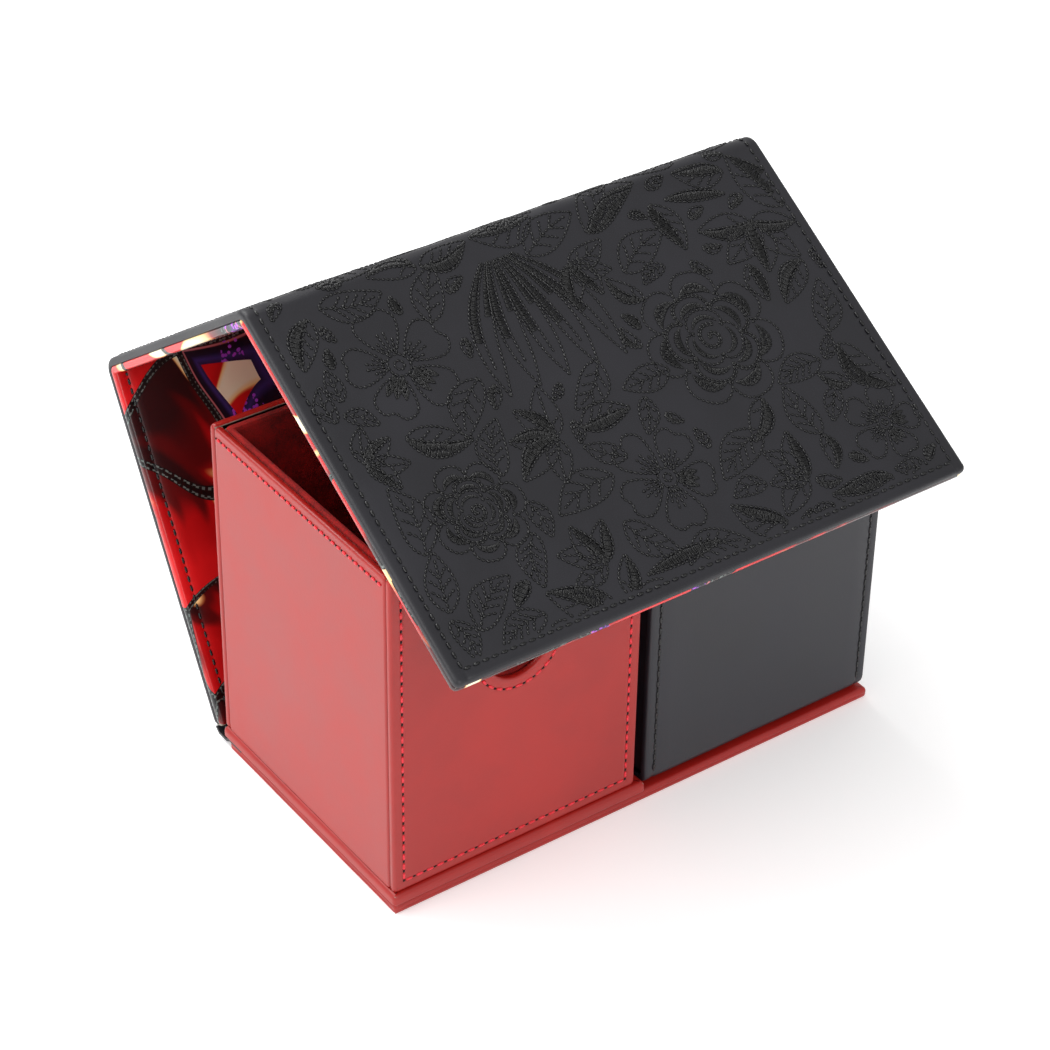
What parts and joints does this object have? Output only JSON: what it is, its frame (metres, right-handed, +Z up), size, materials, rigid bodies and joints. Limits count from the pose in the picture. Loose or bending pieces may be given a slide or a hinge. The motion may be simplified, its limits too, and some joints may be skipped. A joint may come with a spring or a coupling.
{
  "type": "card deck box",
  "caption": "Free-standing storage box for sleeved cards, with a red compartment, a loose black compartment and a folding cover of stiff panels.",
  "frame": {"origin": "centre of the base's underside, on the table", "axes": "+X from the red compartment to the black one, +Y from the front to the back, +Z up"},
  "size_m": [0.1611, 0.1674, 0.1499],
  "materials": {
    "red_leatherette": "satin",
    "black_leatherette": "satin",
    "printed_lining": "satin",
    "red_microfibre": "matte",
    "black_microfibre": "matte",
    "greyboard": "matte",
    "magnet": "satin",
    "red_thread": "matte",
    "black_thread": "matte"
  },
  "bodies": {
    "case": {"base_board": "greyboard", "base_underside_sheet": "red_leatherette", "base_wrap": "red_leatherette", "foot_board": "greyboard", "foot_wrap": "red_leatherette", "cover_hinge_strip": "black_leatherette", "red_front_board": "greyboard", "red_front_wrap": "red_leatherette", "red_left_board": "greyboard", "red_left_wrap": "red_leatherette", "red_right_board": "greyboard", "red_right_wrap": "red_leatherette", "red_back_board": "greyboard", "red_back_wrap": "red_leatherette", "red_front_magnets": "magnet", "red_tray_floor": "greyboard", "red_tray_front_wall": "greyboard", "red_tray_back_wall": "greyboard", "red_tray_side_walls": "greyboard", "red_tray_lining": "red_microfibre"},
    "black_compartment": {"black_front_board": "greyboard", "black_bottom_board": "greyboard", "black_back_board": "greyboard", "black_wrap": "black_leatherette", "black_left_board": "greyboard", "black_left_wrap": "black_leatherette", "black_right_board": "greyboard", "black_right_wrap": "black_leatherette", "black_front_magnets": "magnet", "black_tray_floor": "greyboard", "black_tray_front_wall": "greyboard", "black_tray_back_wall": "greyboard", "black_tray_side_walls": "greyboard", "black_tray_lining": "black_microfibre"},
    "cover_back": {"cover_back_wrap": "black_leatherette", "cover_back_outer_board": "greyboard", "cover_back_inner_board": "greyboard", "cover_back_lining": "printed_lining", "eave_fold": "black_leatherette"},
    "cover_top": {"cover_top_wrap": "black_leatherette", "cover_top_outer_board": "greyboard", "cover_top_inner_board": "greyboard", "cover_top_lining": "printed_lining", "ridge_fold": "black_leatherette"},
    "cover_flap": {"cover_flap_magnets": "magnet", "cover_flap_wrap": "black_leatherette", "cover_flap_outer_board": "greyboard", "cover_flap_inner_board": "greyboard", "cover_flap_lining": "printed_lining"}
  },
  "joints": [
    {"name": "cover_back_fold", "type": "hinge", "parent": "case", "child": "cover_back", "pos_m": [0, 0.0446, 0.0049], "axis": [-1, 0, 0], "range_deg": [0, 61.5], "deforming": ["cover_hinge_strip"]},
    {"name": "cover_eave_fold", "type": "hinge", "parent": "cover_back", "child": "cover_top", "pos_m": [0, 0.09308, 0.09532], "axis": [-1, 0, 0], "range_deg": [0, 82.5], "deforming": ["eave_fold"]},
    {"name": "cover_ridge_fold", "type": "hinge", "parent": "cover_top", "child": "cover_flap", "pos_m": [0, 0.02349, 0.14533], "axis": [-1, 0, 0], "range_deg": [0, 66.7], "deforming": ["ridge_fold"]},
    {"name": "black_compartment_slide", "type": "slide", "parent": "case", "child": "black_compartment", "axis": [1, 0, 0], "range_m": [0, 0.085]}
  ]
}
